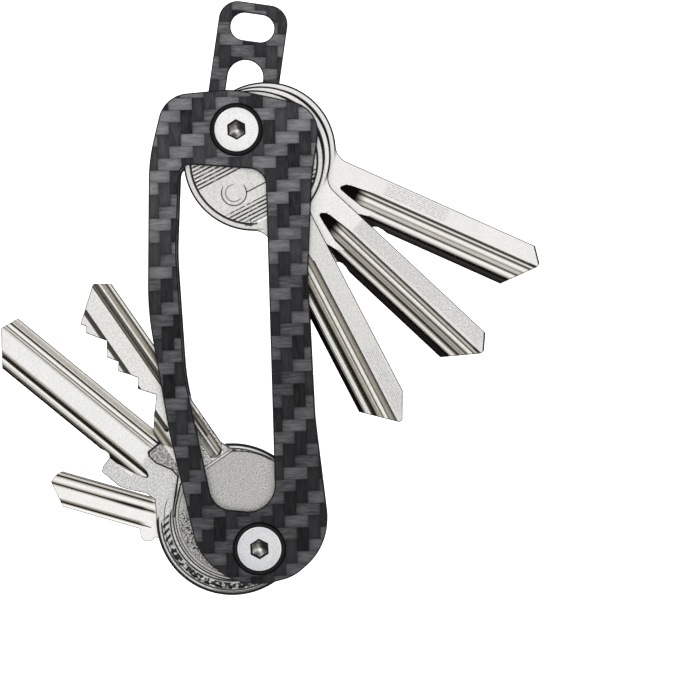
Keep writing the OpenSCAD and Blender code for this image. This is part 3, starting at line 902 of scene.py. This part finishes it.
def cut_key():
    outer = [(17.9, -5.3), (18.9, -4.95), (51.9, -4.95), (53.6, -2.6), (53.6, -2.2), (49.2, 3.4), (48.3, 2.8),
             (47.4, 3.45), (45.7, 2.3), (44.3, 1.3), (43.3, 2), (42, 2.9), (40.2, 1.7), (38.9, 2.65), (37.3, 1.4),
             (36, 0.5), (34.5, 1.65), (31.8, -0.4), (30.7, 0.5), (29.3, 1.8), (27.1, 3.45), (26.5, 3.75),
             (24.8, 3.9), (24.6, 6.4), (23.9, 6.7), (22.2, 6.4), (19.7, 4.8), (18.2, 4.6), (16.2, 6.5)]
    cx, cw, cr = 6.8, -0.2, 11.3
    outer += arc(cx, cw, cr, 50, 360 - 50, 3) + [(16.2, -6.1)]
    hole = arc(0, 0, HOLE_R, 0, 355, 5)
    broad = [(-4.37, 0), (-4.3, 0.5), (-3.5, 0.35), (-3.1, 0.35), (-2.9, 0.5), (-2.3, 0.8), (-2.0, 0.8), (-1.95, 0)]
    thin = [(1.13, 0), (1.18, 0.75), (1.87, 0.75), (1.92, 0)]
    back = [(-1.3, 0), (-1.2, 0.6), (0.2, 0.6), (0.3, 0)]
    broad_start = lambda w: 17.0 + (w + 3.15) ** 2 * 0.45
    thin_start = lambda w: 25.4 + (w - 1.52) ** 2 * 3.0

    def top(u, w):
        g = profile(broad)(w) * np.clip((u - broad_start(w)) / 0.4, 0, 1) * (w < -1.94)
        t = profile(thin)(w) * np.clip((u - thin_start(w)) / 0.3, 0, 1)
        return np.maximum(g, t)

    def bottom(u, w):
        return profile(back)(w) * np.clip((u - 20) / 5, 0, 1)

    lines = runs(broad + back, 16.8, 54) + runs(thin, 25.0, 54)
    lines += start_lines(broad_start, np.linspace(-4.37, -1.95, 16), 0.4)
    lines += start_lines(thin_start, np.linspace(1.13, 1.92, 8), 0.4)
    v, f = relief(outer, [hole], lines, top, bottom, KEY_T, 0.16)
    at = placed(-POST, 90 + LOWER_OPEN[0], 0)

    m = Metal("nickel_cut", at, (0.65, 0.64, 0.615), (9.0, 0.35), 0.12, 0.7, 0.3, mottle=0.16)
    m.dots(m.smooth(m.x, 16.4, 16.2), 6.5, 0.42, 0.56, 0.55)
    m.paint(m.box(16.95, 60, -5.2, 7.0), (0.76, 0.75, 0.725))
    # painted reflection: the tilted faces along the bitting and the stop are darkened
    m.shade(m.both(m.smooth(m.z, 3.2, 3.4), m.tilted), 0.02)
    # painted reflection and shade across the grooves and the bitting side, with a dark patch in the broad groove
    m.band([(1.97, 0.75), (2.2, 0.3), (2.5, 0.06), (2.75, 0.2), (3.1, 0.55), (3.35, 0.3), (3.6, 0.06), (3.95, 0.02)],
           [(1.97, 22.0), (3.95, 24.6)], 0.3, OLIVE, 28.4)
    m.band([(-5.1, 0.6), (-4.95, 0.55), (-4.8, 0.62), (-4.62, 0.95), (-4.5, 0.75), (-4.38, 0.4), (-4.26, 0.08),
            (-4.14, 0.1), (-4.0, 0.27), (-3.8, 0.42), (-3.6, 0.34), (-3.45, 0.5), (-3.25, 0.92), (-3.05, 0.9),
            (-2.9, 0.7), (-2.75, 0.42), (-2.6, 0.28), (-2.2, 0.25), (-2.06, 0.06), (-1.98, 0.06), (-1.88, 0.8),
            (-1.8, 0.97)], [(-5.1, 19), (-4.4, 17.6), (-3.6, 17.0), (-2.6, 17.05), (-1.8, 17.6)], 0.1, OLIVE)
    m.band([(1.08, 0.6), (1.14, 0.06), (1.7, 0.075), (1.82, 0.12), (1.9, 0.35), (1.97, 0.75)],
           [(1.08, 26.2), (1.3, 25.6), (1.5, 25.4), (1.7, 25.6), (1.97, 26.2)], 0.1, OLIVE)
    m.band([(-4.4, 0.55), (-4.3, 0.25), (-4.18, 0.12), (-4.05, 0.3), (-3.85, 0.55), (-3.65, 0.35), (-3.5, 0.1),
            (-3.35, 0.45), (-3.15, 0.95), (-2.6, 1.0), (-2.4, 0.7), (-2.2, 0.42), (-2.02, 0.3), (-1.9, 0.7)],
           [(-4.4, 19.5), (-3.7, 17.5), (-3.15, 17.1), (-2.6, 17.1), (-1.9, 18.0)], 0.3, OLIVE, 24.5)
    m.shade(m.box(21.0, 25.5, -3.9, -3.4, 0.2), 0.08)
    # shoulder across the neck
    low = m.span(m.z, -5.9, -0.2)
    m.shade(m.both(m.line(m.x, 16.4, 0.05), low), 0.12)
    m.shade(m.both(m.line(m.x, 16.9, 0.05), low), 0.2)
    for strip in (m.box(17, 24, -1.95, -0.2), m.box(17, 25, -5.4, -4.35)):
        m.shade(strip, 0.85)
        m.dots(strip, 3.5, 0.4, 0.52, 0.85)
    # stop in front of the bitting, dimpled, and outlined with a painted dark edge
    stop = m.box(18.1, 24.75, 3.45, 6.8, 0.05)
    m.shade(stop, 0.62)
    m.dots(stop, 2.6, 0.4, 0.6, 0.6)
    r = m.radius(cx, cw)
    upper = m.both(m.smooth(m.z, 1.5, 3.5), m.smooth(m.x, 16.2, 15.0))
    # painted reflection: a thick dark line along the chamfered outer edge, round the head's top, the stop and the
    # bitting's end
    m.strokes([(14.2, 8.4), (16.15, 6.45), (18.15, 4.65), (19.7, 4.85), (22.2, 6.45), (23.9, 6.7), (24.55, 6.35),
               (24.75, 3.9)], 0.26, 0.01)
    m.strokes([(12.8, 8.9), (14.3, 7.6), (15.6, 6.2), (16.9, 4.8)], 0.12, 0.04)
    # painted reflection and shadow: the rounded rim of the head is darkened
    m.shade(m.both(m.smooth(r, 11.0, 11.12), upper), 0.03)
    m.shade(m.both(m.line(r, 10.75, 0.07), upper), 0.15)
    m.shade(m.both(m.line(r, 10.25, 0.05), upper), 0.3)
    m.worms(m.both(m.span(m.x, 1.8, 13.0), m.span(m.z, 6.4, 12, 0.15), m.smooth(r, 10.15, 10.0)), 2.0, 0.04)
    m.shade(m.both(m.line(m.x, 1.75, 0.06), upper, m.smooth(r, 10.2, 10.1)), 0.1)
    lower = m.both(m.smooth(m.z, -4.5, -6.0), m.smooth(m.x, 10.8, 11.6))
    m.shade(m.both(m.line(r, 11.05, 0.1), lower), 0.1)
    make("lower_key_front", v, f, m.done(0.36), at)


def middle_key():
    cx, cw, cr = 6.8, -0.8, 13.1
    outer = [(17.5, -6.6), (24.6, -HALF), (57.3, -HALF), (58.5, -1.1), (54, HALF), (32, HALF), (31.3, 4), (30.4, 4),
             (29.9, 4.4), (29.8, 6.2), (29.4, 7.1), (25.5, 7.15), (24.2, 6.7), (21.1, 5.15), (19.3, 5), (17.3, 7)]
    outer += arc(cx, cw, cr, 41, 360 - 34, 3)
    hole = arc(0, 0, HOLE_R, 0, 355, 5)
    low = [(-4.15, 0), (-4.05, 0.3), (-3.7, 0.2), (-3.0, 0.2), (-2.75, 0.4), (-2.65, 0), (-2.05, 0), (-2, 0.3),
           (-1.95, 0), (-1.55, 0), (-1.5, 0.3), (-1.45, 0)]
    high = [(2.1, 0), (2.15, 0.6), (2.3, 0.4), (2.55, 0.7), (2.7, 0.4), (3.1, 0.35), (3.75, 0.4), (3.85, 0.9),
            (4.35, 0.9), (4.38, 0)]
    back = [(-0.7, 0), (-0.6, 0.6), (1.0, 0.6), (1.1, 0)]
    starts = [(2.1, 23.4), (2.5, 22.7), (2.9, 22.5), (3.3, 23.2), (3.8, 25.0), (4.4, 27.5)]
    start = lambda w: np.where(w > 0, np.interp(w, *zip(*starts)), 24.9)

    def top(u, w):
        r = np.hypot(u - cx, w - cw)
        g = profile(low + high)(w) * np.clip((u - start(w)) / 0.4, 0, 1)
        ring = np.where((u < 17.5) & (r > 9.0), 0.15 * np.clip((cr - 1.3 - r) / 0.12, 0, 1), 0)
        return np.maximum(g, ring)

    def bottom(u, w):
        return profile(back)(w) * np.clip((u - 22) / 5, 0, 1)

    lines = runs(low, 24.8, 59) + runs(high, 22.2, 59) + runs(back, 21.8, 59)
    lines += start_lines(start, np.linspace(2.1, 4.4, 22), 0.4) + start_lines(start, (-4.3, -1.4), 0.4)
    lines += [arc(cx, cw, r, 0, 360, 3) for r in (cr - 1.3, cr - 1.42, 9.05, 8.95)]
    v, f = relief(outer, [hole], lines, top, bottom, KEY_T, 0.12)
    at = placed(-POST, 90 + LOWER_OPEN[1], 1)

    m = Metal("nickel_middle", at, (0.84, 0.835, 0.82), (9.0, 0.35), 0.3, 0.0, 0.1, mottle=0.09)
    stop = m.both(m.smooth(m.x, 30.5, 30.0), m.smooth(m.z, 4.4, 4.5))
    neck = m.max(m.both(m.smooth(m.x, 25.5, 24.5), m.smooth(m.x, 15.7, 16.1)), stop)
    m.shade(neck, 0.85)
    m.dots(neck, 3.2, 0.35, 0.6, 0.35)
    # painted reflection and shade tones across the grooves
    left = [(-4.3, 26.6), (-1.1, 25.6)]
    m.band([(-4.3, 0.8), (-4.25, 0.2), (-4.15, 0.15), (-4.05, 0.8), (-3.95, 0.88), (-3.8, 0.62), (-3.6, 0.5),
            (-3.15, 0.46), (-3.05, 0.92), (-2.97, 0.95), (-2.87, 0.4), (-2.78, 0.3), (-2.65, 0.6), (-2.5, 0.92),
            (-2.2, 1.0), (-2.1, 0.5), (-2.0, 0.2), (-1.93, 0.4), (-1.8, 0.72), (-1.6, 0.56), (-1.45, 0.6),
            (-1.35, 0.78), (-1.2, 0.7), (-1.1, 0.85)], left, 0.8)
    m.band([(1.55, 0.9), (1.7, 0.7), (1.8, 0.45), (1.95, 0.35), (2.05, 0.25), (2.14, 0.03), (2.24, 0.03), (2.33, 0.5),
            (2.4, 0.72), (2.5, 0.4), (2.57, 0.08), (2.63, 0.1), (2.75, 0.62), (2.85, 0.88), (3.0, 1.0), (3.1, 0.88),
            (3.2, 0.62), (3.4, 0.64), (3.5, 0.4), (3.62, 0.08), (3.75, 0.008), (4.4, 0.008)],
           [(1.55, 27), (1.9, 24.5), (2.15, 23.3), (2.5, 22.7), (2.9, 22.5), (3.3, 23.2), (3.75, 25.0), (4.4, 28.5)],
           0.1)
    # head: black outline painted as the dark reflection and shadow of the rounded edge, white rim, line, ring of
    # broken hatching, line
    r = m.radius(cx, cw)
    head = m.smooth(m.x, 16.1, 15.7)
    turn = m.math("ARCTAN2", m.sub(m.z, cw), m.sub(m.x, cx))
    m.shade(m.both(m.line(r, 12.2, 0.1), head), 0.05)
    ring = m.both(m.span(r, 10.9, 12.05), head)
    slant = m.add(m.mul(turn, 62.0), m.mul(r, -4.0))
    hatching = m.smooth(m.sin(slant), -0.3, 0.5)
    blobs = m.smooth(m.noise(m.v, 1.3, 2.0, 0.6), 0.42, 0.52)
    strokes = m.blend(m.smooth(m.x, 12.0, 13.0), blobs, hatching)
    m.shade(m.both(ring, m.max(strokes, 0.15)), 0.02)
    m.shade(m.both(m.line(r, 10.65, 0.12), head), 0.06)
    m.shade(m.both(m.line(r, 12.5, 0.06), m.smooth(m.x, 3.0, 0.0)), 0.15)
    m.shade(m.both(m.smooth(r, 12.55, 12.68), m.smooth(m.x, 17.2, 16.6)), 0.005)
    make("lower_key_middle", v, f, m.done(0.3), at)


def small_key():
    outer = arc(5, -0.4, 9.5, 40, 360 - 38, 4) + [
        (15, -3.6), (19.4, -3.2), (36.5, -3.2), (37.3, -2.4), (37.9, -0.95), (34.7, 2.65), (20.9, 2.65), (20.3, 4),
        (19.4, 4.5), (18.4, 4.2), (17.8, 3.3), (16, 3.4), (14.2, 4.6)]
    front = [(-2.95, 0), (-2.9, 0.2), (-2.85, 0), (-2.42, 0), (-2.35, 0.4), (-2.25, 0.1), (-0.95, 0.05),
             (-0.85, 0.4), (-0.7, 0), (1.8, 0), (1.87, 0.4), (2.0, 0)]
    back = [(0, 0), (0.1, 0.5), (1.0, 0.5), (1.1, 0)]

    def top(u, w):
        return profile(front)(w) * np.clip((u - 19.0) / 0.6, 0, 1)

    def bottom(u, w):
        return profile(back)(w) * np.clip((u - 20) / 3, 0, 1)

    lines = runs(front, 18.2, 38) + runs(back, 19.5, 38) + [[(u, -4), (u, 5)] for u in (19.0, 19.6)]
    v, f = relief(outer, [arc(0, 0, HOLE_R, 0, 355, 5)], lines, top, bottom, SMALL_T, 0.1)
    at = placed(-POST, 90 + LOWER_OPEN[2], 2)
    m = Metal("nickel_small", at, NICKEL, edge=0.4)
    # painted reflection and shade tones across the grooves
    m.band([(-3.4, 0.8), (-3.2, 0.53), (-3.05, 0.25), (-2.97, 0.3), (-2.85, 0.72), (-2.65, 0.66), (-2.55, 0.5),
            (-2.45, 0.03), (-2.35, 0.02), (-2.28, 0.12), (-2.15, 0.35), (-2.0, 0.7), (-1.8, 0.95), (-1.4, 0.95),
            (-1.2, 0.72), (-1.05, 0.4), (-0.95, 0.4), (-0.7, 0.48), (-0.55, 0.6), (-0.4, 0.95)],
           [(-3.4, 20.5), (-0.4, 18.6)], 0.6)
    m.band([(1.2, 0.97), (1.35, 0.7), (1.5, 0.4), (1.65, 0.2), (1.78, 0.05), (1.88, 0.05), (2.0, 0.2), (2.1, 0.6),
            (2.2, 1.0), (2.4, 1.0), (2.65, 0.7)], [(1.2, 20.5), (2.65, 20.5)], 1.0)
    # painted shade in the narrow groove at z = -0.85, near its start
    m.shade(m.both(m.smooth(m.x, 20.3, 21.5), m.smooth(m.x, 28.5, 24), m.line(m.z, -0.85, 0.12, 0.35)), 0.15)
    make("lower_key_back", v, f, m.done(0.28), at)


cut_key()
middle_key()
small_key()

# ---- loop strap ----
reach, tail, half_wide, slot_at, arch_at, arch_foot = 22.5, -7.2, 6, 18.3, 9.5, 6.4
strap = rounded([[reach, half_wide, 3.3], [tail, half_wide, 5], [tail, -half_wide, 5], [reach, -half_wide, 3.3]], 4)
slot_hole = arc(slot_at, 1.4, 2.4, 0, 180, 6) + arc(slot_at, -1.4, 2.4, 180, 360, 6)
arch = arc(arch_at, 0, 3.1, -90, 90, 5) + arc(arch_foot, 1.1, 2, 90, 180, 10) + arc(arch_foot, -1.1, 2, 180, 270, 10)
v, f = relief(strap, [arc(0, 0, HOLE_R, 0, 355, 5), clean(slot_hole), clean(arch)], [], flat, flat, STRAP_T, 0.18)
make("ring_loop", v, f, carbon_strap, STRAP_AT)

# ---- camera ----
cam = bpy.data.cameras.new("camera")
cam_ob = link("camera", cam)
distance_mm, seen_mm = 900.0, 117.6067            # from the front plate, and how much of it is seen
cam.sensor_width = 36.0
cam.lens = cam.sensor_width * distance_mm / seen_mm
cam.clip_start, cam.clip_end = 0.05, 20.0
tilt = radians(3.14)
right, up = Vector((cos(tilt), 0, -sin(tilt))), Vector((sin(tilt), 0, cos(tilt)))
rot = Matrix((right, up, right.cross(up))).transposed()
cam_ob.matrix_world = shifted(15.644, FRONT - distance_mm, -1.515) @ rot.to_4x4()
bpy.context.scene.camera = cam_ob

# ---- light and setting ----
world = bpy.data.worlds.new("studio")
bpy.context.scene.world = world
w = Nodes(world)
split = w.new("ShaderNodeSeparateXYZ")
w.put(split.inputs[0], w.new("ShaderNodeTexCoord").outputs["Generated"])
x, y, z = split.outputs
stops = [(0.0, 1.15), (0.055, 1.12), (0.1, 0.5), (0.17, 0.35), (0.24, 0.05), (0.6, 0.04), (0.7, 0.8), (1.0, 0.95)]
light = w.ramp(w.fma(y, 0.5, 0.5, clamp=True), [(pos, (level,) * 3) for pos, level in stops])


def lobe(value, start, end, level):
    """Soft bright patch of the world round an axis."""
    r = w.new("ShaderNodeMapRange")
    for key, number in (("Value", value), ("From Min", start), ("From Max", end), ("To Max", level)):
        w.put(r.inputs[key], number)
    return r.outputs[0]


light = w.max(w.max(light, lobe(w.abs(x), 0.94, 0.98, 0.8)), lobe(z, 0.9, 0.97, 0.9))
sky = w.new("ShaderNodeBackground")
w.put(sky.inputs[0], light)
w.put(w.new("ShaderNodeOutputWorld").inputs[0], sky.outputs[0])


def card(name, loc, target, size, power):
    li = bpy.data.lights.new(name, "AREA")
    li.shape, li.size, li.size_y, li.energy = "RECTANGLE", size[0], size[1], power
    ob = link(name, li)
    ob.location = loc
    ob.rotation_euler = (Vector(target) - Vector(loc)).to_track_quat("-Z", "Y").to_euler()


card("key_light", (-0.45, -0.75, 0.75), (0, 0, 0), (0.5, 0.5), 1.5)
card("fill_light", (0.7, -0.8, 0.1), (0, 0, 0), (0.4, 0.7), 0.8)


def sheet(name, verts, level):
    me = bpy.data.meshes.new(name)
    me.from_pydata(verts, [], [(0, 1, 2, 3)])
    ob = link(name, me)
    m = Paint(name)
    m.finish((0.82, 0.82, 0.82), 0.7, 0.0)
    m.bsdf.inputs["Emission Color"].default_value = (1, 1, 1, 1)
    m.bsdf.inputs["Emission Strength"].default_value = level
    me.materials.append(m.mat)
    ob.visible_glossy = False


floor_z = -0.112
sheet("floor", [(-1.2, -1.2, floor_z), (1.2, -1.2, floor_z), (1.2, 1.2, floor_z), (-1.2, 1.2, floor_z)], 0.6)
sheet("backdrop", [(-3, 3, -1), (3, 3, -1), (3, 3, 3), (-3, 3, 3)], 1.2)
bpy.context.scene.view_settings.view_transform = "Standard"
